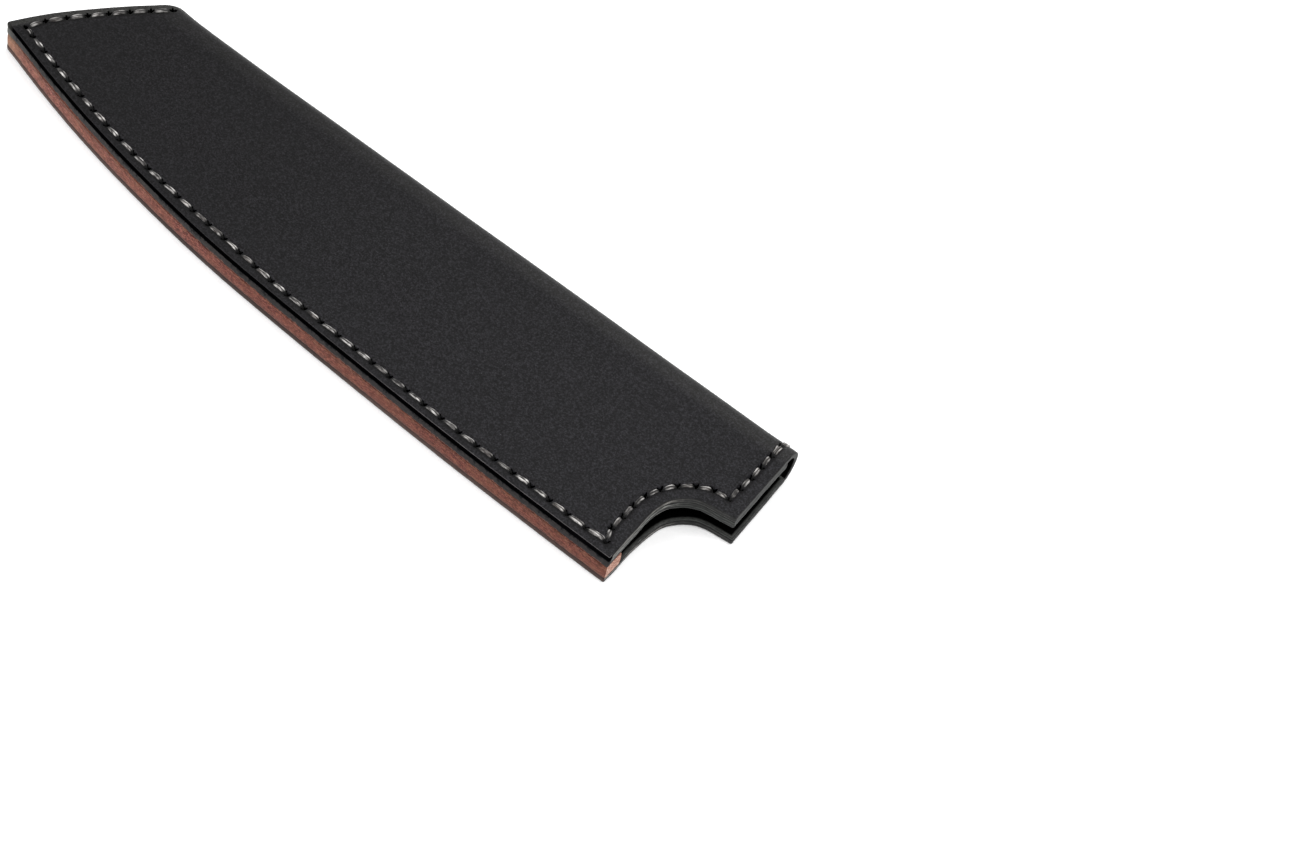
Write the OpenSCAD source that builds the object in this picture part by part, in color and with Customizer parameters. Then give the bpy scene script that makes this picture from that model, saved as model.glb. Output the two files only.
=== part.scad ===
/* [Size] */
// length from the tip corner to the corner of the mouth, mm
length = 203.5; // [175:0.5:230]
// width from the spine fold to the long edge at the heel, mm
width = 52.7; // [50:0.1:58]
/* [Leather] */
// thickness of the cover leather, mm
cover_t = 1.5; // [1.3:0.1:1.7]
// thickness of the lining leather in the front panel, mm
front_t = 2.2; // [1.8:0.1:2.4]
// thickness of the thin lining leather in the back panel, mm
back_t = 0.6; // [0.4:0.1:0.8]
// thickness of the welt between the panels, mm
welt_t = 3.8; // [3.5:0.1:4.5]
// width of the welt strip, mm
welt_w = 5.4; // [5:0.2:8]
/* [Stitching] */
// distance from hole to hole along the long edge, mm
pitch = 5; // [4.5:0.5:6]
// diameter of the thread, mm
thread_d = 1; // [0.7:0.1:1]

/* [Hidden] */
$fn = 32;
total_t = 2*cover_t + front_t + welt_t;
r_out = total_t/2;
r_in = r_out - cover_t;
z_w = cover_t;
z_f = z_w + welt_t;
ys = width/2;
ye = -width/2;
x0 = -length/2;
// the mouth meets the spine at x1
x1 = length/2 - 2.2;
yf = ys - r_out;

// long edge: straight at the heel, then a belly that rises to the tip
heel_x = x1 - 11.6;
span = 188.7*length/203.5;
function edge_t(x) = max(0, (heel_x - x)/span);
function edge_y(x) = ye + 6.5*pow(edge_t(x), 1.5) + 13.8*pow(edge_t(x), 4);
// tip edge: a slightly convex line up to the spine, e is how far it is cut back
function tip_x(y, e) = let (u = y - (ye + 20)) x0 + e + 0.52*u + 0.0062*u*u;
tip_cut = 0.6;
function y_tip(e) = edge_y(x0 + e);
// finger notch: from the heel corner up and round to the corner of the mouth,
// a smooth line through these points, measured from x1 and the long edge.
// The front panel is cut a little deeper than the back panel.
notch_front = [[-11.6, 0], [-12, 5], [-12.3, 10], [-12.6, 14.5], [-12.5, 17.5], [-11.9, 20.4], [-10.7, 22.4], [-9, 24.1], [-6.9, 25.4], [-4.2, 26.1], [-1, 26.6], [1.5, 27]];
notch_back = [[-11.6, 0], [-11.7, 4], [-12, 8], [-12, 12], [-11.8, 16], [-11.3, 19.3], [-10.2, 21.7], [-8.5, 23.8], [-6.5, 25.4], [-4.3, 26.2], [-1.5, 26.6], [2.1, 27]];
function bend(a, b, c, d, t) = 0.5*(2*b + (c - a)*t + (2*a - 5*b + 4*c - d)*t*t + (3*b - a - 3*c + d)*t*t*t);
function smooth(p, n = 4) = concat([for (i = [0:len(p) - 2], k = [0:n - 1]) bend(i == 0 ? 2*p[0] - p[1] : p[i - 1], p[i], p[i + 1], i + 2 < len(p) ? p[i + 2] : 2*p[i + 1] - p[i], k/n)], [p[len(p) - 1]]);
function notch_pts(p) = [for (q = smooth(p)) [x1 + q[0], ye + q[1]]];
// mouth: nearly straight, it leans out towards the notch, b is 1 on the back panel
function mouth_x(y, b) = x1 + (b == 1 ? 2.1*pow((ys - y)/25.6, 0.8) : 1.5*pow((ys - y)/25.6, 1.1));
function mouth_pts(b) = [for (i = [1:8]) let (y = ys - 25.6 + 3.2*i) [mouth_x(y, b), y]];
// the seam follows the notch on a circle
nx = x1 - 0.3;
ny = ys - 37.9;
function seam_p(a) = [nx + 16.3*cos(a), ny + 16.3*sin(a)];

function long_pts(e) = [for (i = [0:44]) let (x = x0 + e + (heel_x - x0 - e)*i/44) [x, edge_y(x)]];
function tip_pts(e) = [for (i = [0:13]) let (y = ys - (ys - y_tip(e))*i/14) [tip_x(y, e), y]];
module body_back() { polygon(concat([for (i = [0:43]) long_pts(0)[i]], notch_pts(notch_back), mouth_pts(1), tip_pts(0))); }
module body_front() { polygon(concat([for (i = [0:43]) long_pts(tip_cut)[i]], notch_pts(notch_front), mouth_pts(0), tip_pts(tip_cut))); }
// the back panel and the welt stand out a little at the tip, the front panel is cut back
module body3d() { linear_extrude(z_f) body_back(); translate([0, 0, z_f - 1]) linear_extrude(total_t - z_f + 1) body_front(); }

// equal steps along a line of points
function cum(p, i = 0, s = 0) = i >= len(p) - 1 ? [s] : concat([s], cum(p, i + 1, s + norm(p[i + 1] - p[i])));
function at(p, c, s, i = 0) = (i >= len(p) - 2 || s <= c[i + 1]) ? p[i] + (p[i + 1] - p[i])*(s - c[i])/(c[i + 1] - c[i]) : at(p, c, s, i + 1);
function steps(p, g, a = 0, b = 0) = let (c = cum(p), tot = c[len(c) - 1] - a - b, n = round(tot/g)) [for (k = [0:n]) at(p, c, a + tot*k/n)];

// seam lines, each starts at a corner hole
tip_c = [x0 + 4.6, edge_y(x0 + 4.6) + 2.9];
heel_c = [heel_x - 3.4, ye + 2.9];
tip_line = concat([tip_c], [for (i = [1:8]) let (y = tip_c[1] + (ys - 3.2 - tip_c[1])*i/8) [tip_x(y, tip_cut) + 2.3, y]]);
long_line = concat([tip_c], [for (i = [1:35]) let (x = tip_c[0] + (heel_c[0] - tip_c[0])*i/36) [x, edge_y(x) + 2.5 + 0.15*cos(7.2*(x + 30)) + 0.3*pow(edge_t(x), 3)]], [heel_c]);
tip_holes = steps(tip_line, pitch);
long_holes = concat([tip_c], steps(long_line, pitch, 2.7, 5.4));
notch_c = [nx - 2.5, ny + 15.5];
notch_line = concat([heel_c, [heel_x - 4.7, ye + 6.2]], [for (a = [176:-8:112]) seam_p(a)], [notch_c]);
notch_holes = steps(notch_line, 4);
mouth_line = [notch_c, [notch_c[0] + 0.1, notch_c[1] + 8], [x1 - 3.4, ys - 2.7]];
mouth_holes = steps(mouth_line, 4);
edge_holes = concat([for (i = [len(tip_holes) - 1:-1:1]) tip_holes[i]], long_holes, [heel_c]);
rim_holes = concat([for (i = [1:len(notch_holes) - 1]) notch_holes[i]], [for (i = [1:len(mouth_holes) - 1]) mouth_holes[i]]);
wrap_x = rim_holes[len(rim_holes) - 1][0];

// the stitch that joins both seams at the heel starts beside the last hole of the edge seam
heel_run = [heel_c + 0.6*(rim_holes[0] - heel_c)/norm(rim_holes[0] - heel_c), rim_holes[0]];

hole_r = thread_d/2 + 0.14;
groove_w = 2*hole_r - 0.12;
groove_z = 0.8;
module dots(h, r) for (q = h) translate(q) circle(r = r);
module runs(h, w) for (i = [0:len(h) - 2]) let (u = h[i + 1] - h[i]) translate(h[i]) rotate(atan2(u[1], u[0])) translate([0, -w/2]) square([norm(u), w]);
module dashes(h, w) for (i = [0:len(h) - 2]) let (u = h[i + 1] - h[i], l = norm(u) - 1.3)
  translate((h[i] + h[i + 1])/2) rotate(atan2(u[1], u[0]) + 7) polygon([[-l/2, -w/4], [-l/2 + w/3, -w/2], [l/2 - w/3, -w/2], [l/2, -w/4], [l/2, w/4], [l/2 - w/3, w/2], [-l/2 + w/3, w/2], [-l/2, w/4]]);
module drill(h) translate([0, 0, -1]) linear_extrude(total_t + 2) dots(h, hole_r);
module groove2d() { runs(edge_holes, groove_w); dots(edge_holes, hole_r); runs(rim_holes, groove_w); dots(rim_holes, hole_r); runs(heel_run, groove_w); }
// a half ring round the fold for the last mouth stitch
module ring(r, d) translate([wrap_x, yf, r_out]) rotate([0, 90, 0]) rotate([0, 0, 0]) rotate_extrude(angle = 180) translate([r, 0]) circle(r = d);

module section() difference() {
  union() {
    translate([yf, r_out]) circle(r = r_out, $fn = 64);
    translate([ye - 1, 0]) square([yf - ye + 1, total_t]);
  }
  translate([yf, r_out]) circle(r = r_in, $fn = 64);
  translate([ye - 2, cover_t]) square([yf - ye + 2, total_t - 2*cover_t]);
}

module outer_cover() color([0.06, 0.06, 0.065]) difference() {
  intersection() {
    body3d();
    translate([x0 - 1, 0, 0]) rotate([90, 0, 90]) linear_extrude(length + 3) section();
  }
  drill(edge_holes);
  drill(rim_holes);
  translate([0, 0, -1]) linear_extrude(1 + groove_z) groove2d();
  translate([0, 0, total_t - groove_z]) linear_extrude(1 + groove_z) groove2d();
  ring(r_out - 0.1, hole_r + 0.06);
}

module front_lining() color([0.09, 0.09, 0.09]) difference() {
  translate([0, 0, z_f]) linear_extrude(front_t) intersection() { body_front(); translate([x0 - 1, ye - 1]) square([length + 3, yf - ye + 1]); }
  drill(edge_holes);
  drill(rim_holes);
}

// inner line of the welt, from the heel to the tip and up to the fold
welt_in = concat([for (i = [44:-2:2]) long_pts(0)[i] + [0, welt_w]], [for (i = [1:9]) let (y = y_tip(0) + welt_w + (yf - y_tip(0) - welt_w)*i/9) [tip_x(y, 0) + welt_w*1.25, y]]);
module strip2d() polygon(concat([[heel_x + 3, ye - 3], [x0 - 5, ye - 3], [x0 - 5, yf]], [for (i = [len(welt_in) - 1:-1:0]) welt_in[i]], [[heel_x + 3, ye + welt_w]]));
module welt() color([0.42, 0.2, 0.15]) difference() {
  translate([0, 0, z_w]) linear_extrude(welt_t) intersection() { body_back(); strip2d(); }
  drill(edge_holes);
}
module back_lining() color([0.09, 0.09, 0.09]) difference() {
  translate([0, 0, z_w]) linear_extrude(back_t) difference() {
    intersection() { body_back(); translate([x0 - 1, ye - 1]) square([length + 3, yf - ye + 1]); }
    strip2d();
  }
  drill(rim_holes);
}

module stitches(h, za, zb) {
  w = thread_d - 0.16;
  zr = 0.42;
  for (s = [0, 1]) {
    translate([0, 0, s == 0 ? za + groove_z - zr - 0.02 : zb - groove_z + 0.02]) linear_extrude(zr) { runs(h, w); dots(h, thread_d/2); }
    translate([0, 0, s == 0 ? za + 0.03 : zb - groove_z + 0.22]) linear_extrude(groove_z - 0.25) dashes(h, thread_d);
  }
  translate([0, 0, za + groove_z - 0.2]) linear_extrude(zb - za - 2*groove_z + 0.4) dots(h, thread_d/2 - 0.04);
}
module edge_thread() color([0.6, 0.6, 0.58]) stitches(edge_holes, 0, total_t);
module mouth_thread() color([0.6, 0.6, 0.58]) {
  stitches(rim_holes, 0, z_w + back_t + 0.55);
  stitches(rim_holes, z_f - 0.55, total_t);
  for (z = [0.24, total_t - 0.78]) translate([0, 0, z]) linear_extrude(0.54) runs(heel_run, thread_d - 0.16);
  intersection() {
    ring(r_out - 0.1, thread_d/2);
    translate([0, rim_holes[len(rim_holes) - 1][1] + 0.1, -5]) cube([length, 20, 30]);
  }
}

outer_cover();
front_lining();
back_lining();
welt();
edge_thread();
mouth_thread();
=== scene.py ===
import bpy
import math
import numpy as np
from mathutils import Vector, Matrix
from mathutils.geometry import delaunay_2d_cdt


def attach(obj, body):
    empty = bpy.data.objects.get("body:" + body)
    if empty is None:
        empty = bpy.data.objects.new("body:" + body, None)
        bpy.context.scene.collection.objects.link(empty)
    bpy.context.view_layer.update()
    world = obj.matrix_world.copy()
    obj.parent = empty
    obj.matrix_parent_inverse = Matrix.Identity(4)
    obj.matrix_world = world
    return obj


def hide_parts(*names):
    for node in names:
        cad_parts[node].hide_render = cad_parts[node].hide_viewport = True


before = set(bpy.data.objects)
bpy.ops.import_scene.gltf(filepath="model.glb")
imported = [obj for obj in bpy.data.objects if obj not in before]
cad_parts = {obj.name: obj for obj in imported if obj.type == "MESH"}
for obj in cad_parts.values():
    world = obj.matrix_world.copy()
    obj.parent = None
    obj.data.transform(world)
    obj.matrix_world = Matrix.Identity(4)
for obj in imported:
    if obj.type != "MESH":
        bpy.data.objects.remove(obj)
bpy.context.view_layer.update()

# ------------------------------------------------------------------ the guard's own numbers, mm
LEN, WID = 203.5, 52.7
CT, FT, BT, WT, WW = 1.5, 2.2, 0.6, 3.8, 5.4      # cover, front lining, back lining, welt, welt width
PITCH = 5.0
TOT = 2 * CT + FT + WT
R = TOT / 2
ZW, ZF = CT, CT + WT
YS, YE, X0 = WID / 2, -WID / 2, -LEN / 2
X1 = LEN / 2 - 2.2
YF = YS - R
Q = R * math.pi / 2
HX, SPAN = X1 - 11.6, 188.7
TIPCUT = 0.6
NX, NY, NR = X1 - 0.3, YS - 37.9, 12.0
# the notch, measured from X1 and YE: on the front panel, then on the back panel
NOTCH = (((-11.6, 0), (-12, 5), (-12.3, 10), (-12.6, 14.5), (-12.5, 17.5), (-11.9, 20.4), (-10.7, 22.4), (-9, 24.1), (-6.9, 25.4), (-4.2, 26.1), (-1, 26.6), (1.5, 27)),
         ((-11.6, 0), (-11.7, 4), (-12, 8), (-12, 12), (-11.8, 16), (-11.3, 19.3), (-10.2, 21.7), (-8.5, 23.8), (-6.5, 25.4), (-4.3, 26.2), (-1.5, 26.6), (2.1, 27)))


def smoothstep(t):
    t = min(1.0, max(0.0, t))
    return t * t * (3 - 2 * t)


def edge_t(x):
    return max(0.0, (HX - x) / SPAN)


def edge_y(x):
    t = edge_t(x)
    return YE + 6.5 * t ** 1.5 + 13.8 * t ** 4


def tip_x(y, e):
    u = y - (YE + 20)
    return X0 + e + 0.52 * u + 0.0062 * u * u - 0.22 * np.exp(-((y - 2) / 7) ** 2)


def wob(x, b):
    """How far the cut edge stands out of its plain line, b is 1 on the back panel."""
    o = 0.28 * math.exp(-((x + 28) / 17) ** 2) + 0.2 * smoothstep((x - 15) / 40)
    o += 0.35 * math.exp(-max(0.0, x + 101.5) / 4)
    if b:
        return o + 0.1 * math.exp(-((x + 60) / 25) ** 2)
    return o - 0.12 * math.exp(-((x + 72) / 22) ** 2) + 0.3 * math.exp(-max(0.0, x + 101.5) / 2.5)


def edge_w(x, b):
    return edge_y(x) - wob(x, b)


def tip_corner(e, b):
    """Where the tip edge meets the long edge."""
    x = X0 + e
    for _ in range(30):
        x = tip_x(edge_w(x, b), e)
    return x, edge_w(x, b)


def y_tip(e):
    return edge_y(X0 + e)


def notch_p(a, d=0.0):
    a = math.radians(a)
    return (NX + (NR + d) * math.cos(a), NY + (NR + d) * math.sin(a))


def mouth_x(y, b):
    """b goes from 0 on the front panel to 1 on the back panel."""
    t = max(0.0, YS - y) / 25.6
    return X1 + (1 - b) * 1.5 * t ** 1.1 + b * 2.1 * t ** 0.8


def notch_pts(b, n=5):
    p = np.array(NOTCH[b], float)
    p = np.vstack([2 * p[:1] - p[1:2], p, 2 * p[-1:] - p[-2:-1]])
    out = []
    for i in range(1, len(p) - 2):
        a0, a1, a2, a3 = p[i - 1], p[i], p[i + 1], p[i + 2]
        for t in np.arange(n) / n:
            q = 0.5 * (2 * a1 + (a2 - a0) * t + (2 * a0 - 5 * a1 + 4 * a2 - a3) * t * t + (3 * a1 - a0 - 3 * a2 + a3) * t ** 3)
            out.append((X1 + q[0], YE + q[1]))
    return out + [(X1 + NOTCH[b][-1][0], YE + NOTCH[b][-1][1])]


# ------------------------------------------------------------------ the unrolled cover
# (x, v): v is the way across the cover over its outer face, 0 at the middle of the fold,
# negative on the front panel and positive on the back panel; d is the depth under the outer face.
def v_of(y):
    return y - YF - Q if y <= YF else -R * math.acos(min(1.0, (y - YF) / R))


def y_of(v):
    a = abs(v)
    return YF + R * math.cos(a / R) if a < Q else YF - (a - Q)


def wrap(p, d):
    """(n, 2) points and depths to (n, 3) places and outward normals."""
    p = np.asarray(p, float)
    x, v = p[:, 0], p[:, 1]
    d = np.broadcast_to(np.asarray(d, float), x.shape)
    a = np.clip(-v / R, -math.pi / 2, math.pi / 2)
    ny, nz = np.cos(a), np.sin(a)
    over = np.maximum(np.abs(v) - Q, 0)
    # the ends of the fold stand out a little
    flare = 0.6 * np.exp(-np.maximum(x + 78, 0) / 8) + 0.35 * np.exp(-np.maximum(x + 78, 0) / 3.5) + 0.35 * np.clip((x - 89) / 11, 0, 1) ** 2
    y = YF + (R - d) * ny - over + flare * ny
    z = R + (R - d) * nz
    return np.stack([x, y, z], 1), np.stack([np.zeros_like(x), ny, nz], 1)


# ------------------------------------------------------------------ outlines
def long_pts(e, b=0, n=130):
    return [(x, edge_w(x, b)) for x in np.linspace(tip_corner(e, b)[0], HX, n)]


def rim_pts(b):
    return notch_pts(b)[1:]


def mouth_pts(top, b):
    return [(mouth_x(y, b), y) for y in np.linspace(YS - 24.8, top, 24)]


def tip_pts(e, top, b=0, n=24):
    return [(tip_x(y, e), y) for y in np.linspace(top, tip_corner(e, b)[1], n)[:-1]]


def with_tag(pts, tag):
    return [(p[0], p[1], tag) for p in pts]


LONG, RIM, TIP, FOLD, BACK = 0, 1, 2, 3, 4


def unrolled_outline():
    f = [(x, v_of(y), t) for x, y, t in with_tag(long_pts(TIPCUT), LONG) + with_tag(rim_pts(0) + mouth_pts(YF, 0), RIM)]
    fold = [(mouth_x(y_of(v), smoothstep((v + Q) / (2 * Q))), v, RIM) for v in np.linspace(-Q, Q, 25)[1:-1]]
    b = [(x, -v_of(y), t) for x, y, t in (with_tag(long_pts(0, 1), BACK) + with_tag(rim_pts(1) + mouth_pts(YF, 1), RIM))][::-1]
    tb = [(x, -v_of(y), BACK) for x, y in tip_pts(0, YF, 1)][::-1]

    def cut(v):
        return TIPCUT * smoothstep((1.0 - v) / 5.0)
    tf = [(tip_x(y_of(v), cut(v)), v, TIP) for v in np.linspace(Q, -Q, 25)[1:-1]]
    t = [(x, v_of(y), TIP) for x, y in tip_pts(TIPCUT, YF)]
    return f + fold + b + tb + tf + t


def flat_outline(e, b=0):
    return with_tag(long_pts(e, b), LONG) + with_tag(rim_pts(b) + mouth_pts(YF, b), RIM) + with_tag(tip_pts(e, YF, b), TIP)


def round_corners(loop, r, least=25):
    """Cuts each sharp corner back by about r and puts a short curve in its place."""
    out, n = [], len(loop)
    for i in range(n):
        a, b, c = loop[i - 1], loop[i], loop[(i + 1) % n]
        u, w = np.array(b[:2]) - a[:2], np.array(c[:2]) - b[:2]
        lu, lw = np.linalg.norm(u), np.linalg.norm(w)
        ang = math.degrees(math.acos(np.clip(u @ w / (lu * lw), -1, 1)))
        if ang < least:
            out.append(b)
            continue
        half = math.tan(math.radians(ang / 2))
        rr = min(r(b) if callable(r) else r, 0.9 * lu / half, 0.9 * lw / half)
        side = 1.0 if u[0] * w[1] - u[1] * w[0] > 0 else -1.0
        u = u / lu
        left = np.array([-u[1], u[0]]) * side
        mid = np.array(b[:2]) - u * rr * half + left * rr
        for t in np.linspace(0, 1, 7):
            g = side * math.radians(ang) * t
            v = -left * rr
            m = mid + np.array([v[0] * math.cos(g) - v[1] * math.sin(g), v[0] * math.sin(g) + v[1] * math.cos(g)])
            out.append((m[0], m[1], a[2] if t < 0.5 else b[2]))
    return out


def densify(loop, h):
    out, n = [], len(loop)
    for i in range(n):
        a, b = loop[i], loop[(i + 1) % n]
        k = max(1, math.ceil(math.hypot(b[0] - a[0], b[1] - a[1]) / h))
        for j in range(k):
            t = j / k
            out.append((a[0] + (b[0] - a[0]) * t, a[1] + (b[1] - a[1]) * t, a[2]))
    return np.array([p[:2] for p in out]), np.array([p[2] for p in out], int)


def out_dir(p):
    """Mitred outward directions of a counterclockwise loop."""
    e = np.roll(p, -1, 0) - p
    e /= np.linalg.norm(e, axis=1)[:, None]
    n = np.stack([e[:, 1], -e[:, 0]], 1)
    m = n + np.roll(n, 1, 0)
    m /= np.linalg.norm(m, axis=1)[:, None]
    c = np.clip((m * n).sum(1), 0.55, 1)
    return m / c[:, None]


# ------------------------------------------------------------------ seams
def steps(p, g, a=0.0, b=0.0):
    p = np.array(p, float)
    c = np.concatenate([[0], np.cumsum(np.linalg.norm(np.diff(p, axis=0), axis=1))])
    tot = c[-1] - a - b
    n = round(tot / g)
    return [tuple(np.array([np.interp(a + tot * k / n, c, p[:, j]) for j in (0, 1)])) for k in range(n + 1)]


tip_c = (X0 + 4.6, edge_y(X0 + 4.6) + 2.9)
heel_c = (HX - 3.4, YE + 2.9)
tip_line = [tip_c] + [(tip_x(y, TIPCUT) + 2.3, y) for y in [tip_c[1] + (YS - 3.2 - tip_c[1]) * i / 8 for i in range(1, 9)]]
long_line = [tip_c] + [(x, edge_y(x) + 2.5 + 0.15 * math.cos(math.radians(7.2 * (x + 30))) + 0.3 * edge_t(x) ** 3) for x in [tip_c[0] + (heel_c[0] - tip_c[0]) * i / 36 for i in range(1, 36)]] + [heel_c]
tip_holes = steps(tip_line, PITCH)
long_holes = [tip_c] + steps(long_line, PITCH, 2.7, 5.4)
notch_c = (NX - 2.5, NY + 15.5)
notch_line = [heel_c, (HX - 4.7, YE + 6.2)] + [notch_p(a, 4.3) for a in range(176, 111, -8)] + [notch_c]
notch_holes = steps(notch_line, 4)
mouth_line = [notch_c, (notch_c[0] + 0.1, notch_c[1] + 8), (X1 - 3.4, YS - 2.7)]
mouth_holes = steps(mouth_line, 4)
edge_holes = tip_holes[:0:-1] + long_holes + [heel_c]
rim_holes = notch_holes[1:] + mouth_holes[1:]
EDGE = np.array([(x, v_of(y)) for x, y in edge_holes])
RIMH = np.array([(x, v_of(y)) for x, y in rim_holes])
RIMF = np.vstack([EDGE[-1:], RIMH])


def slit_dirs(h, turn=-42):
    """Direction of each slit: at an angle to the seam, as a slanted iron punches them."""
    d = np.gradient(h, axis=0)
    a = np.arctan2(d[:, 1], d[:, 0]) + math.radians(turn)
    return np.stack([np.cos(a), np.sin(a)], 1)


# a stitch hole: along the seam and towards the inner side, it opens to a V on that side
VEE = ((-0.16, -0.78), (0.16, -0.78), (0.34, -0.35), (0.56, 0.05), (0.78, 0.42), (0.72, 0.62), (0.48, 0.6), (0.22, 0.42), (0.0, 0.34),
       (-0.22, 0.42), (-0.48, 0.6), (-0.72, 0.62), (-0.78, 0.42), (-0.56, 0.05), (-0.34, -0.35))


def tangents(h):
    d = np.gradient(np.array(h), axis=0)
    return d / np.linalg.norm(d, axis=1)[:, None]


def slit_loops(h, tang, k=1.0):
    loops = []
    for c, u in zip(h, tang):
        w = np.array([-u[1], u[0]])
        loops.append(np.array([c + k * (a * u + b * w) for a, b in VEE]))
    return loops


def mirror(h):
    return np.stack([h[:, 0], -h[:, 1]], 1)


edge_dirs, rim_dirs = slit_dirs(EDGE), slit_dirs(RIMH)
edge_tan, rim_tan = tangents(EDGE), tangents(RIMH)


def seg_dist(p, a, b):
    """Distance of points p to the nearest of the segments a-b."""
    best = np.full(len(p), 1e9)
    for s, e in zip(a, b):
        u = e - s
        t = np.clip(((p - s) @ u) / (u @ u), 0, 1)
        best = np.minimum(best, np.linalg.norm(p - (s + t[:, None] * u), axis=1))
    return best


def pt_dist(p, h):
    best = np.full(len(p), 1e9)
    for c in h:
        best = np.minimum(best, np.linalg.norm(p - c, axis=1))
    return best


class Spread:
    """Keeps points that aren't too close to those already there."""

    def __init__(self, cell=0.3):
        self.cell, self.grid, self.pts = cell, {}, []

    def put(self, p):
        self.grid.setdefault((int(p[0] // self.cell), int(p[1] // self.cell)), []).append(p)

    def add(self, pts, r, keep=True):
        k = math.ceil(r / self.cell)
        for p in pts:
            cx, cy = int(p[0] // self.cell), int(p[1] // self.cell)
            bad = False
            for i in range(cx - k, cx + k + 1):
                for j in range(cy - k, cy + k + 1):
                    for q in self.grid.get((i, j), ()):
                        if (q[0] - p[0]) ** 2 + (q[1] - p[1]) ** 2 < r * r:
                            bad = True
                            break
                    if bad:
                        break
                if bad:
                    break
            if not bad:
                p = (float(p[0]), float(p[1]))
                self.put(p)
                if keep:
                    self.pts.append(p)


def inside(p, loop):
    x, y = p[:, 0], p[:, 1]
    r = np.zeros(len(p), bool)
    for (x1, y1), (x2, y2) in zip(loop, np.roll(loop, -1, 0)):
        if y1 == y2:
            continue
        c = (y > min(y1, y2)) & (y <= max(y1, y2))
        if c.any():
            xi = x1 + (y - y1) * (x2 - x1) / (y2 - y1)
            r ^= c & (x < xi)
    return r


def triangulate(outer, holes, free):
    pts = [Vector(p) for p in outer]
    edges = [(i, (i + 1) % len(outer)) for i in range(len(outer))]
    for h in holes:
        o = len(pts)
        pts += [Vector(p) for p in h]
        edges += [(o + i, o + (i + 1) % len(h)) for i in range(len(h))]
    pts += [Vector(p) for p in free]
    made, _, tris, orig, _, _ = delaunay_2d_cdt(pts, edges, [], 1, 1e-7, True)
    if any(not o for o in orig):
        raise RuntimeError("outlines cross near %s" % [tuple(round(c, 2) for c in q) for q, o in zip(made, orig) if not o][:12])
    ids = np.array([o[0] for o in orig])
    tris = ids[np.array([t for t in tris], int)]
    c = np.array([[p[0], p[1]] for p in pts])[tris].mean(1)
    keep = inside(c, outer)
    for h in holes:
        m = h.mean(0)
        near = np.where(np.linalg.norm(c - m, axis=1) < 1.2)[0]
        if len(near):
            keep[near[inside(c[near], h)]] = False
    return tris[keep]


def make_mesh(name, verts, faces, slots, mats, coll=None):
    me = bpy.data.meshes.new(name)
    me.from_pydata([tuple(c * 0.001 for c in v) for v in verts], [], faces)
    for m in mats:
        me.materials.append(m)
    me.polygons.foreach_set("material_index", np.array(slots, np.int32))
    me.polygons.foreach_set("use_smooth", np.ones(len(faces), bool))
    me.validate()
    me.update()
    ob = bpy.data.objects.new(name, me)
    bpy.context.scene.collection.objects.link(ob)
    return ob


def hexes(lo, hi, h, hv=None):
    hv = hv or h * 0.87
    out = []
    for j, y in enumerate(np.arange(lo[1], hi[1], hv)):
        for x in np.arange(lo[0] + (j % 2) * h / 2, hi[0], h):
            out.append((x, y))
    return np.array(out)


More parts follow.
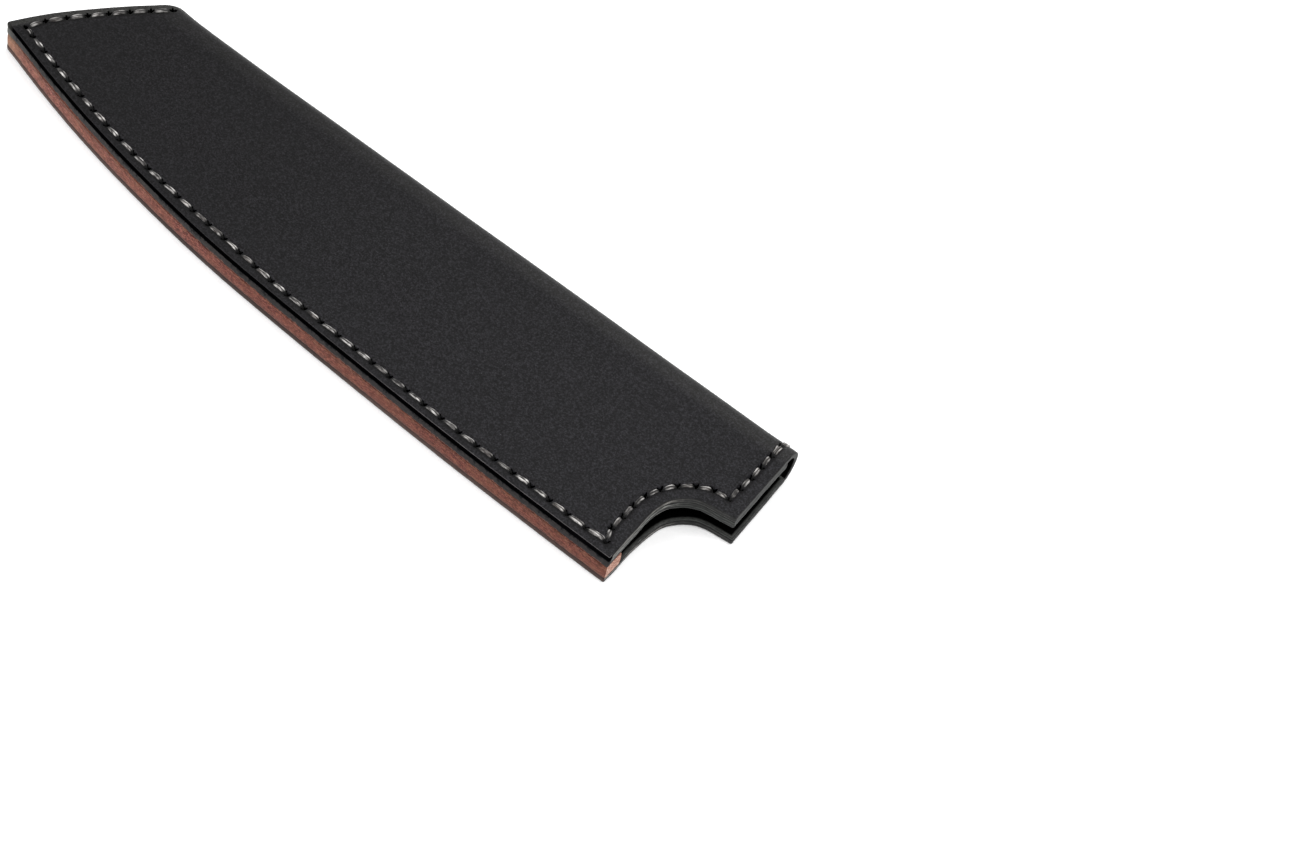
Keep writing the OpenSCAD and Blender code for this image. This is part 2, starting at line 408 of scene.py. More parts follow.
def slab(name, loop, tags, holes, place, thick, prof, mats, side_slot, depth=None, seam_pts=(), spread=1.4, fine=None, low_spread=3.0, hole_slot=1, wobble=0.0, tones=None, painted_shade_faces=None):
    """A layer of leather. loop is its outline, place maps (x, v) and a depth to 3-D, prof is [(outward offset, depth)] down its edge."""
    n = len(loop)
    dirs = out_dir(loop)
    rings = [loop + dirs * o for o, _ in prof]
    top, low = rings[0], rings[-1]
    lo, hi = loop.min(0), loop.max(0)

    def free_points(outer, h, seams, margin):
        s = Spread()
        for p in outer:
            s.put((float(p[0]), float(p[1])))
        for hl in holes:
            for p in hl:
                s.put((float(p[0]), float(p[1])))
            c = hl.mean(0)
            s.put((float(c[0]), float(c[1])))
        cand = []
        if seams:
            for k, r in ((1.35, 0.10), (1.8, 0.16)):
                for hl in holes:
                    c = hl.mean(0)
                    cand.append(((hl - c) * k + c, r))
            for o, r in ((0.25, 0.2), (0.55, 0.28), (0.95, 0.35)):
                cand.append((outer - dirs * o, r))
            cand.append((np.array(seam_pts), 0.19) if len(seam_pts) else (np.zeros((0, 2)), 0.2))
        if fine is not None:
            cand.append((fine, 0.4 if seams else 0.9))
        cand.append((hexes(lo, hi, h), h * 0.72))
        for pts, r in cand:
            if not len(pts):
                continue
            ok = inside(pts, outer)
            pts = pts[ok]
            if len(holes):
                hc = np.array([hl.mean(0) for hl in holes])
                near = pt_dist(pts, hc) < 1.0
                bad = np.zeros(len(pts), bool)
                idx = np.where(near)[0]
                for hl in holes:
                    m = hl.mean(0)
                    w = idx[np.linalg.norm(pts[idx] - m, axis=1) < 1.0]
                    if len(w):
                        bad[w] |= inside(pts[w], (hl - m) * 1.12 + m)
                pts = pts[~bad]
            s.add(pts, r)
        out = np.array(s.pts) if s.pts else np.zeros((0, 2))
        if len(out):
            out = out[seg_far(out, outer, margin)]
        return out

    def seg_far(p, outer, margin):
        # only points near the outline need the test
        keep = np.ones(len(p), bool)
        step = max(1, len(outer) // 4000)
        a = outer[::step]
        for i in range(0, len(p), 4000):
            d = np.min(np.linalg.norm(p[i:i + 4000, None, :] - a[None, :, :], axis=2), axis=1)
            keep[i:i + 4000] = d > margin
        return keep

    f_top = free_points(top, spread, True, 0.16)
    f_low = free_points(low, low_spread, False, 0.3)
    t_top = triangulate(top, holes, f_top)
    t_low = triangulate(low, holes, f_low)
    hp = np.vstack(holes) if holes else np.zeros((0, 2))
    p_top = np.vstack([top, hp, f_top])
    d_top = depth(p_top) if depth else np.zeros(len(p_top))
    p_low = np.vstack([low, hp, f_low])
    verts = [place(p_top, d_top)]
    rim = d_top[:n]
    K = len(prof) - 1
    ring_at = [0]
    count = len(p_top)
    rs = np.random.RandomState(7)
    wob = np.zeros(n)
    if wobble:
        k = np.arange(n)
        for f in (0.011, 0.037, 0.083, 0.19, 0.41):
            wob += np.sin(k * f * 2 * math.pi + rs.rand() * 6.28) * wobble / 2.2
    for k in range(1, K):
        o, d = prof[k]
        f = 1 - k / K
        pts = loop + dirs * (o + wob * math.sin(math.pi * k / K))[:, None]
        verts.append(place(pts, d + rim * f))
        ring_at.append(count)
        count += n
    low_at = count
    verts.append(place(p_low, np.full(len(p_low), thick)))
    ring_at.append(low_at)
    verts = np.vstack(verts)
    faces, slots = [], []
    # faces in the dents between the tip stitches get the near-black hole finish: painted shade
    black = painted_shade_faces(p_top[np.array(t_top, int)].mean(1)) if painted_shade_faces else np.zeros(len(t_top), bool)
    for t, dark in zip(t_top, black):
        faces.append((int(t[0]), int(t[1]), int(t[2])))
        slots.append(hole_slot if dark else 0)
    for k in range(K):
        a, b = ring_at[k], ring_at[k + 1]
        for i in range(n):
            j = (i + 1) % n
            faces.append((a + i, b + i, b + j, a + j))
            slots.append(side_slot(k, int(tags[i])))
    for t in t_low:
        faces.append((int(t[2]) + low_at, int(t[1]) + low_at, int(t[0]) + low_at))
        slots.append(len(mats) - 1)
    o = n
    for h in holes:
        m = len(h)
        for i in range(m):
            j = (i + 1) % m
            faces.append((o + i, o + j, low_at + o + j, low_at + o + i))
            slots.append(hole_slot)
        o += m
    ob = make_mesh(name, verts, faces, slots, mats)
    if tones:
        for key, val in zip(("shade", "tipglow", "painted_fold_sheen"), tones(p_top)):
            full = np.zeros(len(verts))
            full[:len(val)] = val
            if key != "shade":
                for k in range(1, K):
                    full[ring_at[k]:ring_at[k] + n] = val[:n]
            at = ob.data.attributes.new(key, "FLOAT", "POINT")
            at.data.foreach_set("value", full.astype(np.float32))
    return ob


def edge_profile(thick, r_top, r_low, bulge=0.05, n=4, mid=3):
    p = [(-r_top * (1 - math.sin(a)), r_top * (1 - math.cos(a))) for a in np.linspace(0, math.pi / 2, n)]
    for t in np.linspace(0, 1, mid + 2)[1:-1]:
        p.append((bulge * math.sin(math.pi * t), r_top + (thick - r_top - r_low) * t))
    p += [(-r_low * (1 - math.cos(a)), thick - r_low * (1 - math.sin(a))) for a in np.linspace(0, math.pi / 2, 3)]
    return p


# ------------------------------------------------------------------ materials
class Tree:
    def __init__(self, name):
        self.m = bpy.data.materials.new(name)
        self.m.use_nodes = True
        self.nt = self.m.node_tree
        self.b = self.nt.nodes["Principled BSDF"]
        tc = self.add("ShaderNodeTexCoord")
        self.obj = tc.outputs["Object"]

    def add(self, kind, **kw):
        n = self.nt.nodes.new(kind)
        for k, v in kw.items():
            setattr(n, k, v)
        return n

    def link(self, a, b):
        self.nt.links.new(a, b)

    def mapped(self, sx, sy=None, sz=None, rot=(0, 0, 0), src=None):
        n = self.add("ShaderNodeMapping")
        n.inputs["Scale"].default_value = (sx * 1000, (sy if sy is not None else sx) * 1000, (sz if sz is not None else sx) * 1000)
        n.inputs["Rotation"].default_value = rot
        self.link(src or self.obj, n.inputs["Vector"])
        return n.outputs["Vector"]

    def noise(self, vec, scale=1.0, detail=3.0, rough=0.55, distort=0.0):
        n = self.add("ShaderNodeTexNoise")
        n.inputs["Scale"].default_value = scale
        n.inputs["Detail"].default_value = detail
        n.inputs["Roughness"].default_value = rough
        n.inputs["Distortion"].default_value = distort
        self.link(vec, n.inputs["Vector"])
        return n.outputs["Fac"]

    def voronoi(self, vec, scale=1.0, feature="F1", smooth=None, out="Distance"):
        n = self.add("ShaderNodeTexVoronoi", feature=feature)
        n.inputs["Scale"].default_value = scale
        if smooth is not None:
            n.inputs["Smoothness"].default_value = smooth
        self.link(vec, n.inputs["Vector"])
        return n.outputs[out]

    def math(self, op, a, b=0.0, clamp=False):
        n = self.add("ShaderNodeMath", operation=op, use_clamp=clamp)
        for i, v in ((0, a), (1, b)):
            if isinstance(v, (int, float)):
                n.inputs[i].default_value = v
            else:
                self.link(v, n.inputs[i])
        return n.outputs[0]

    def ramp(self, fac, stops):
        n = self.add("ShaderNodeValToRGB")
        e = n.color_ramp.elements
        while len(e) < len(stops):
            e.new(0.5)
        for el, (pos, c) in zip(e, stops):
            el.position = pos
            el.color = (*c, 1) if len(c) == 3 else c
        self.link(fac, n.inputs["Fac"])
        return n.outputs["Color"]

    def span(self, fac, a, b, c, d):
        n = self.add("ShaderNodeMapRange")
        for k, v in zip(("From Min", "From Max", "To Min", "To Max"), (a, b, c, d)):
            n.inputs[k].default_value = v
        self.link(fac, n.inputs["Value"])
        return n.outputs["Result"]

    def mix(self, fac, a, b):
        n = self.add("ShaderNodeMix", data_type="RGBA")
        for k, v in ((0, fac), (6, a), (7, b)):
            if isinstance(v, (int, float)):
                n.inputs[k].default_value = v
            elif isinstance(v, tuple):
                n.inputs[k].default_value = (*v, 1)
            else:
                self.link(v, n.inputs[k])
        return n.outputs[2]

    def coord(self, axis):
        """Object coordinate in mm."""
        n = self.add("ShaderNodeSeparateXYZ")
        self.link(self.mapped(1.0), n.inputs[0])
        return n.outputs[axis]

    def along(self, stops):
        """Colour that changes along x, stops: (x in mm, colour). Values may pass 1."""
        top = max(max(c) for _, c in stops)
        a, b = stops[0][0], stops[-1][0]
        fac = self.span(self.coord(0), a, b, 0.0, 1.0)
        col = self.ramp(fac, [((x - a) / (b - a), tuple(k / top for k in c)) for x, c in stops])
        return col, top

    def plus(self, a, fac, c):
        """Colour a plus fac times the colour c."""
        n = self.add("ShaderNodeVectorMath", operation="SCALE")
        n.inputs[0].default_value = c
        self.link(fac, n.inputs["Scale"])
        k = self.add("ShaderNodeVectorMath", operation="ADD")
        self.link(a, k.inputs[0])
        self.link(n.outputs[0], k.inputs[1])
        return k.outputs[0]

    def times(self, a, b):
        """Colour a times colour b, where b may be a (colour, gain) pair."""
        b, gain = b if isinstance(b, tuple) else (b, 1.0)
        n = self.add("ShaderNodeVectorMath", operation="MULTIPLY")
        self.link(a, n.inputs[0])
        self.link(b, n.inputs[1])
        k = self.add("ShaderNodeVectorMath", operation="SCALE")
        self.link(n.outputs[0], k.inputs[0])
        k.inputs["Scale"].default_value = gain
        return k.outputs[0]

    def bump(self, height, strength, dist, normal=None):
        n = self.add("ShaderNodeBump")
        n.inputs["Strength"].default_value = strength
        n.inputs["Distance"].default_value = dist * 0.001
        self.link(height, n.inputs["Height"])
        if normal is not None:
            self.link(normal, n.inputs["Normal"])
        return n.outputs["Normal"]

    def finish(self, colour, rough, normal, spec=0.5, sheen=0.0, coat=0.0):
        b = self.b
        if isinstance(colour, tuple):
            b.inputs["Base Color"].default_value = (*colour, 1)
        else:
            self.link(colour, b.inputs["Base Color"])
        if isinstance(rough, float):
            b.inputs["Roughness"].default_value = rough
        else:
            self.link(rough, b.inputs["Roughness"])
        b.inputs["Specular IOR Level"].default_value = spec
        if sheen:
            b.inputs["Sheen Weight"].default_value = sheen
            b.inputs["Sheen Roughness"].default_value = 0.5
        if normal is not None:
            self.link(normal, b.inputs["Normal"])
        return self.m


def cover_face():
    t = Tree("cover_leather_face")
    warp = t.mapped(1.0)
    grain = t.voronoi(warp, 2.6, "SMOOTH_F1", 0.4)
    fine = t.noise(warp, 7.0, 4.0, 0.6)
    broad = t.noise(t.mapped(1.0), 0.045, 3.0, 0.5)
    patch = t.noise(t.mapped(1.0), 0.35, 3.0, 0.6)
    tone = t.math("ADD", t.math("MULTIPLY", broad, 0.55), t.math("MULTIPLY", patch, 0.45))
    col = t.ramp(tone, [(0.3, (0.0012, 0.0011, 0.0013)), (0.7, (0.0024, 0.0022, 0.0026))])
    speckle = t.noise(warp, 2.3, 3.0, 0.8)
    pores = t.span(speckle, 0.44, 0.66, 0.0, 1.0)
    col = t.mix(t.math("MULTIPLY", pores, 0.9), col, (0.0226, 0.0215, 0.0239))
    dark = t.noise(t.mapped(1.0), 1.7, 2.0, 0.7)
    col = t.mix(t.span(dark, 0.5, 0.72, 0.0, 0.6), col, (0.0006, 0.0006, 0.0008))
    speck = t.voronoi(t.mapped(1.0), 0.33, "F1")
    dot = t.math("LESS_THAN", speck, 0.03)
    col = t.mix(t.math("MULTIPLY", dot, 0.25), col, (0.2, 0.2, 0.2))
    # painted light: the face is brightened from the tip towards the mouth, standing in for its sheen
    col = t.times(col, t.along([(-100, (0.77, 0.77, 0.78)), (-40, (0.86, 0.86, 0.89)), (0, (1.06, 1.07, 1.11)), (100, (1.24, 1.26, 1.33))]))
    a = [t.add("ShaderNodeAttribute") for _ in range(3)]
    for n, key in zip(a, ("shade", "tipglow", "painted_fold_sheen")):
        n.attribute_name = key
    # painted highlight: the sheen along the fold, stronger towards the mouth
    glow = t.math("MULTIPLY", a[2].outputs["Fac"], t.span(t.coord(0), -80.0, 70.0, 0.55, 1.3))
    col = t.plus(col, glow, (0.0088, 0.0086, 0.0078))
    col = t.plus(col, t.math("MULTIPLY", a[1].outputs["Fac"], t.span(speckle, 0.35, 0.65, 0.6, 1.4)), (0.0185, 0.0185, 0.0165))
    # painted shadow beside the threads
    col = t.mix(t.math("MULTIPLY", a[0].outputs["Fac"], 0.9), col, (0.0008, 0.0006, 0.0006))
    h = t.math("ADD", t.math("MULTIPLY", grain, 0.6), t.math("MULTIPLY", fine, 0.55))
    nrm = t.bump(h, 0.6, 0.07)
    nrm = t.bump(t.noise(t.mapped(1.0), 0.5, 3.0, 0.5), 0.3, 0.12, nrm)
    rough = t.span(t.math("ADD", fine, t.math("MULTIPLY", patch, 0.5)), 0.45, 1.1, 0.44, 0.62)
    return t.finish(col, rough, nrm, spec=0.15)


def tip_bevel():
    """The worn border of the face at the tip."""
    t = Tree("cover_leather_tip_border")
    f = t.noise(t.mapped(0.8), 1.0, 4.0, 0.6)
    col = t.ramp(f, [(0.3, (0.016, 0.016, 0.0145)), (0.75, (0.042, 0.042, 0.039))])
    return t.finish(col, 0.6, None, spec=0.2)


def cover_bevel():
    """The burnished bevel between face and edge; its lighter colour towards the mouth is partly burnish and partly a
    painted highlight of the rounded edge.
    """
    t = Tree("cover_leather_bevel")
    f = t.noise(t.mapped(0.8), 1.0, 4.0, 0.6)
    # painted highlight mixed with burnish, from about x = -5 on
    worn = t.span(t.coord(0), -5.0, 40.0, 0.0, 1.0)
    col = t.ramp(f, [(0.3, (0.006, 0.006, 0.006)), (0.75, (0.014, 0.014, 0.014))])
    col = t.mix(worn, col, t.ramp(f, [(0.3, (0.030, 0.029, 0.029)), (0.7, (0.090, 0.086, 0.083))]))
    col = t.times(col, t.along([(-95, (0.35, 0.34, 0.34)), (-50, (0.5, 0.48, 0.48)), (-20, (0.9, 0.87, 0.87)), (20, (1.0, 0.97, 1.0))]))
    nrm = t.bump(t.noise(t.mapped(2.5), 1.0, 3.0, 0.6), 0.25, 0.05)
    return t.finish(col, 0.45, nrm, spec=0.3)


def cover_edge():
    """The edge of the cover at the seams: black edge paint, made near-black and without reflection so that it also
    carries painted shade.
    """
    t = Tree("cover_leather_edge")
    f = t.noise(t.mapped(0.5, 0.5, 4.0), 1.0, 4.0, 0.6)
    col = t.ramp(f, [(0.3, (0.0002, 0.0002, 0.0003)), (0.8, (0.0007, 0.0007, 0.0008))])
    col = t.times(col, t.along([(-60, (1.0, 1.0, 1.0)), (64, (1.4, 1.4, 1.4)), (80, (3.2, 3.2, 3.1))]))
    col = t.mix(t.span(t.coord(0), -100.6, -98.8, 1.0, 0.0), col, (0.034, 0.034, 0.031))
    return t.finish(col, 0.9, None, spec=0.0)


def back_edge():
    """The edge of the back panel, burnished but hardly painted, browner towards the inside."""
    t = Tree("cover_leather_back_edge")
    f = t.noise(t.mapped(0.7, 0.7, 4.0), 1.0, 4.0, 0.6)
    col = t.ramp(f, [(0.3, (0.020, 0.0145, 0.0125)), (0.75, (0.056, 0.040, 0.035))])
    z = t.math("ADD", t.coord(2), t.math("MULTIPLY", t.noise(t.mapped(0.25), 1.0, 2.0, 0.5), 0.3))
    col = t.times(col, t.ramp(t.span(z, 0.55, 1.35, 0.0, 1.0), [(0.0, (1.1, 1.1, 1.1)), (0.45, (1.02, 0.84, 0.78)), (1.0, (0.74, 0.5, 0.43))]))
    col = t.times(col, t.along([(-95, (1.95, 1.9, 1.9)), (-58, (1.6, 1.55, 1.55)), (-42, (0.95, 0.95, 0.95)), (5, (0.95, 0.95, 0.95)), (22, (1.7, 1.75, 1.75)), (50, (1.5, 1.5, 1.5)), (85, (1.15, 1.15, 1.15))]))
    return t.finish(col, 0.6, t.bump(f, 0.4, 0.06), spec=0.25)


def rim_edge(name, dark, light, pale):
    """Burnished layers at the mouth and the notch: thin lines run along the edge. The part before X1 - 11 is paler, a
    painted light for the walls there that face +x.
    """
    t = Tree(name)
    warp = t.noise(t.mapped(0.12), 1.0, 2.0, 0.5)
    zz = t.math("ADD", t.coord(2), t.math("MULTIPLY", warp, 0.9))
    line = t.math("SINE", t.math("MULTIPLY", zz, 8.5))
    brk = t.noise(t.mapped(0.35, 0.35, 1.5), 1.0, 3.0, 0.6)
    amt = t.math("MULTIPLY", t.span(line, 0.55, 0.95, 0.0, 1.0), t.span(brk, 0.4, 0.55, 0.0, 1.0))
    fib = t.noise(t.mapped(0.45, 0.45, 4.6), 1.0, 4.0, 0.65)
    col = t.ramp(fib, [(0.36, tuple(c * 0.6 for c in dark)), (0.52, tuple(c * 0.9 for c in light)), (0.64, tuple(c * 2.2 for c in light))])
    col = t.mix(t.math("MULTIPLY", amt, 0.8, True), col, tuple(min(1, c * 5) for c in light))
    # painted light: the edge before X1 - 11 gets the paler colour
    sharp = t.math("ADD", t.coord(0), t.math("MULTIPLY", t.noise(t.mapped(0.8, 0.8, 2.5), 1.0, 3.0, 0.6), 4.0))
    where = t.span(sharp, X1 - 9.6, X1 - 7.8, 0.0, 1.0)
    lit = t.ramp(fib, [(0.38, tuple(c * 0.3 for c in pale)), (0.5, tuple(c * 0.9 for c in pale)), (0.62, tuple(c * 2.3 for c in pale))])
    stripe = t.math("SINE", t.math("ADD", t.math("MULTIPLY", zz, 4.4), 1.2))
    lit = t.times(lit, t.ramp(t.span(stripe, -1.0, 1.0, 0.0, 1.0), [(0.25, (0.12, 0.12, 0.12)), (0.55, (0.8, 0.8, 0.8)), (0.9, (1.9, 1.9, 1.85))]))
    col = t.mix(where, lit, col)
    h = t.math("ADD", t.math("MULTIPLY", line, 0.35), t.math("MULTIPLY", fib, 0.6))
    nrm = t.bump(h, 0.5, 0.07)
    return t.finish(col, t.span(fib, 0.3, 0.7, 0.45, 0.65), nrm, spec=0.2)


def lining_edge():
    t = Tree("lining_leather_edge")
    f = t.noise(t.mapped(0.9, 0.9, 3.5), 1.0, 5.0, 0.7)
    big = t.noise(t.mapped(0.12), 1.0, 2.0, 0.5)
    col = t.ramp(f, [(0.28, (0.008, 0.0085, 0.009)), (0.5, (0.026, 0.026, 0.0255)), (0.78, (0.078, 0.077, 0.073))])
    col = t.mix(t.span(big, 0.35, 0.65, 0.0, 0.35), col, (0.030, 0.033, 0.037))
    col = t.times(col, t.along([(-96, (1.15, 1.1, 1.07)), (-82, (0.98, 0.92, 0.88)), (-34, (0.95, 0.86, 0.83)), (-18, (0.73, 0.65, 0.64)), (80, (0.72, 0.64, 0.64))]))
    rag = t.noise(t.mapped(0.9, 0.9, 1.1), 1.0, 4.0, 0.7)
    z = t.math("ADD", t.coord(2), t.math("MULTIPLY", rag, 3.0))
    col = t.mix(t.span(z, 7.0, 7.25, 1.0, 0.0), col, (0.105, 0.052, 0.041))
    rag2 = t.noise(t.mapped(0.75, 0.75, 0.5), 1.0, 5.0, 0.75)
    z = t.math("ADD", t.coord(2), t.math("MULTIPLY", rag2, 7.0))
    col = t.mix(t.span(z, 10.55, 11.1, 0.0, 1.0), col, (0.0009, 0.0011, 0.0018))
    col = t.mix(t.span(t.coord(0), -100.6, -98.2, 0.8, 0.0), col, (0.105, 0.105, 0.098))
    nrm = t.bump(f, 0.6, 0.09)
    return t.finish(col, t.span(f, 0.3, 0.7, 0.6, 0.8), nrm, spec=0.1)


def lining_tip():
    """The pale raw end of the front lining at the tip."""
    t = Tree("lining_leather_tip")
    f = t.noise(t.mapped(0.9, 0.9, 3.5), 1.0, 5.0, 0.65)
    col = t.ramp(f, [(0.28, (0.10, 0.10, 0.10)), (0.75, (0.24, 0.24, 0.235))])
    return t.finish(col, 0.8, t.bump(f, 0.5, 0.08), spec=0.15)


def lining_face():
    # near-black, painted shade of the inside of the sheath
    t = Tree("lining_leather_face")
    f = t.noise(t.mapped(1.6), 1.0, 4.0, 0.6)
    col = t.ramp(f, [(0.3, (0.0006, 0.0006, 0.0006)), (0.75, (0.0014, 0.0014, 0.0014))])
    return t.finish(col, 0.9, None, spec=0.0)


def lining_top():
    """The face of the back lining, paler along its cut border; the near-black further in is painted shade of the slot.
    """
    t = Tree("lining_leather_border")
    f = t.noise(t.mapped(1.2), 1.0, 4.0, 0.6)
    at = t.add("ShaderNodeAttribute")
    at.attribute_name = "border"
    col = t.ramp(f, [(0.3, (0.030, 0.031, 0.030)), (0.75, (0.075, 0.077, 0.073))])
    edge = t.math("ADD", at.outputs["Fac"], t.math("MULTIPLY", f, 0.5))
    col = t.mix(t.span(edge, 0.65, 1.05, 0.0, 1.0), col, (0.0007, 0.0007, 0.0007))
    return t.finish(col, 0.9, None, spec=0.0)


def hole_dark():
    # near-black walls of the stitch holes and the dents between the tip stitches: painted shade
    t = Tree("leather_hole")
    return t.finish((0.0006, 0.0006, 0.0006), 1.0, None, spec=0.0)


def welt_edge():
    t = Tree("welt_leather_edge")
    f = t.noise(t.mapped(1.0, 1.0, 3.4), 1.0, 5.0, 0.75)
    fib = t.noise(t.mapped(3.0, 3.0, 5.0), 1.0, 3.0, 0.7)
    big = t.noise(t.mapped(0.09), 1.0, 2.0, 0.5)
    mixd = t.math("ADD", t.math("MULTIPLY", f, 0.6), t.math("MULTIPLY", fib, 0.4))
    col = t.ramp(mixd, [(0.40, (0.030, 0.007, 0.0045)), (0.5, (0.120, 0.034, 0.025)), (0.60, (0.32, 0.130, 0.100))])
    col = t.mix(t.span(big, 0.35, 0.65, 0.0, 0.35), col, (0.17, 0.070, 0.040))
    blot = t.noise(t.mapped(0.55, 0.55, 1.2), 1.0, 4.0, 0.7)
    col = t.mix(t.span(blot, 0.52, 0.66, 0.0, 0.45), col, (0.26, 0.125, 0.075))
    col = t.mix(t.span(blot, 0.34, 0.46, 0.4, 0.0), col, (0.05, 0.012, 0.008))
    col = t.times(col, t.along([(-95, (1.28, 1.22, 1.2)), (-55, (1.08, 0.95, 0.92)), (-20, (0.89, 0.71, 0.66)), (88, (0.77, 0.61, 0.53))]))
    col = t.mix(t.math("MULTIPLY", t.span(t.coord(0), -100.0, -94.0, 0.85, 0.0), t.span(mixd, 0.42, 0.58, 0.35, 1.0)), col, (0.29, 0.155, 0.09))
    rag = t.noise(t.mapped(0.5, 0.5, 0.9), 1.0, 4.0, 0.65)
    dip = t.math("MULTIPLY", t.span(t.coord(0), -52.0, -42.0, 0.0, 1.0), t.span(t.coord(0), -4.0, 6.0, -0.25, 0.0))
    z = t.math("ADD", t.math("ADD", t.coord(2), dip), t.math("MULTIPLY", rag, 0.9))
    col = t.times(col, t.ramp(t.span(z, 1.5, 6.1, 0.0, 1.0), [(0.05, (0.55, 0.6, 0.6)), (0.2, (0.92, 0.97, 0.97)), (0.5, (1.0, 0.98, 0.97)), (0.7, (0.93, 0.97, 1.0)), (0.86, (0.9, 1.1, 1.12)), (0.98, (0.7, 0.76, 0.76))]))
    far = t.math("MULTIPLY", t.span(t.coord(0), -68.0, -50.0, 0.32, 0.0), t.span(t.coord(2), 4.0, 5.0, 0.0, 1.0))
    col = t.mix(far, col, (0.030, 0.012, 0.009))
    nrm = t.bump(mixd, 0.8, 0.12)
    return t.finish(col, 0.85, nrm, spec=0.1, sheen=0.12)


def welt_raw():
    """The cut end of the welt at the heel, paler and raw."""
    t = Tree("welt_leather_raw")
    f = t.noise(t.mapped(1.5, 1.5, 3.5), 1.0, 5.0, 0.7)
    col = t.ramp(f, [(0.38, (0.20, 0.085, 0.062)), (0.52, (0.48, 0.27, 0.21)), (0.66, (0.72, 0.54, 0.45))])
    nrm = t.bump(f, 0.8, 0.12)
    return t.finish(col, 0.9, nrm, spec=0.12)


def welt_face():
    t = Tree("welt_leather_face")
    f = t.noise(t.mapped(1.5), 1.0, 4.0, 0.7)
    col = t.ramp(f, [(0.3, (0.16, 0.055, 0.038)), (0.75, (0.30, 0.12, 0.085))])
    return t.finish(col, 0.85, t.bump(f, 0.5, 0.08), spec=0.15)


def flesh():
    """Inner side of the cover leather, near-black: painted shade of the inside of the sheath."""
    t = Tree("cover_leather_inside")
    f = t.noise(t.mapped(1.4), 1.0, 5.0, 0.65)
    col = t.ramp(f, [(0.3, (0.0008, 0.0008, 0.0008)), (0.75, (0.002, 0.002, 0.002))])
    return t.finish(col, 0.9, None, spec=0.0)


def thread_mat():
    t = Tree("waxed_thread")
    f = t.noise(t.mapped(2.2), 1.0, 4.0, 0.65)
    at = {}
    for key in ("ply", "deep", "fib", "tone"):
        n = t.add("ShaderNodeAttribute")
        n.attribute_name = key
        at[key] = n.outputs["Fac"]
    big = t.noise(t.mapped(0.15), 1.0, 2.0, 0.5)
    mixd = t.math("ADD", t.math("MULTIPLY", f, 0.35), t.math("MULTIPLY", at["fib"], 0.65))
    col = t.ramp(mixd, [(0.25, (0.022, 0.020, 0.020)), (0.48, (0.125, 0.118, 0.114)), (0.75, (0.48, 0.465, 0.45))])
    col = t.mix(t.span(big, 0.5, 0.7, 0.0, 0.25), col, (0.15, 0.12, 0.105))
    k = t.add("ShaderNodeVectorMath", operation="SCALE")
    t.link(col, k.inputs[0])
    t.link(at["tone"], k.inputs["Scale"])
    # painted shade in the groove between the two plies
    col = t.mix(t.span(at["ply"], 0.25, 0.9, 0.0, 0.85), k.outputs[0], (0.008, 0.0072, 0.0072))
    # painted shade where the thread sinks into the holes
    col = t.mix(t.span(at["deep"], 0.03, 0.34, 0.0, 1.0), col, (0.0012, 0.001, 0.001))
    nrm = t.bump(t.noise(t.mapped(9.0), 1.0, 3.0, 0.7), 0.5, 0.05)
    return t.finish(col, t.span(f, 0.3, 0.7, 0.5, 0.7), nrm, spec=0.2, sheen=0.1)


M_face, M_bevel, M_edge, M_bedge, M_flesh, M_dark, M_tipb = cover_face(), cover_bevel(), cover_edge(), back_edge(), flesh(), hole_dark(), tip_bevel()
M_rim = rim_edge("cover_leather_rim", (0.004, 0.004, 0.004), (0.011, 0.011, 0.0105), (0.058, 0.056, 0.053))
M_rim2 = rim_edge("lining_leather_rim", (0.005, 0.0055, 0.005), (0.013, 0.014, 0.013), (0.072, 0.073, 0.070))
M_ledge, M_lface, M_ltip, M_btop = lining_edge(), lining_face(), lining_tip(), lining_top()
M_wedge, M_wraw, M_wface = welt_edge(), welt_raw(), welt_face()
M_thread = thread_mat()

# ------------------------------------------------------------------ cover
GROOVE, PUCKER = 0.42, 0.45


def seam_depth(p):
    """How deep the threads have pulled the leather in."""
    q = p.copy()
    q[:, 1] = -np.abs(q[:, 1])
    d = np.zeros(len(p))
    w = seg_dist(q, np.vstack([EDGE[:-1], RIMF[:-1]]), np.vstack([EDGE[1:], RIMF[1:]]))
    h = pt_dist(q, np.vstack([EDGE, RIMH]))
    d += GROOVE * np.exp(-(w / 0.52) ** 2)
    d += PUCKER * np.exp(-(h / 0.72) ** 2)
    d -= 0.035 * np.exp(-((w - 1.15) / 0.45) ** 2)
    # a small lip of leather stands up on the inner side of each hole
    for c, u in zip(np.vstack([EDGE, RIMH]), np.vstack([edge_tan, rim_tan])):
        r = q - c
        m = np.where((np.abs(r) < 2.2).all(1))[0]
        if len(m):
            a, b = r[m] @ u, r[m] @ np.array([-u[1], u[0]])
            d[m] -= 0.16 * np.exp(-(a / 0.75) ** 2 - ((b - 0.98) / 0.3) ** 2)
    # the last mouth stitch lies over the fold
    wx = RIMH[-1][0]
    over = np.clip((-RIMH[-1][1] - np.abs(p[:, 1])) / 0.6 + 0.5, 0, 1)
    d += over * 0.24 * np.exp(-(np.maximum(np.abs(p[:, 0] - wx - 0.36) - 0.4, 0) / 0.4) ** 2)
    return d


def waves(p):
    x, v = p[:, 0], p[:, 1]
    return 0.02 * (np.sin(x * 0.11 + v * 0.05 + 1.0) + np.sin(x * 0.047 - v * 0.13 + 2.2) + np.sin(x * 0.23 + v * 0.19 + 0.3) * 0.5)


back_tip = (tip_corner(0, 1)[0], -v_of(tip_corner(0, 1)[1]))
u_loop, u_tags = densify(round_corners(unrolled_outline(), lambda q: 1.0 if math.dist(q[:2], back_tip) < 0.5 else 0.35), 0.55)


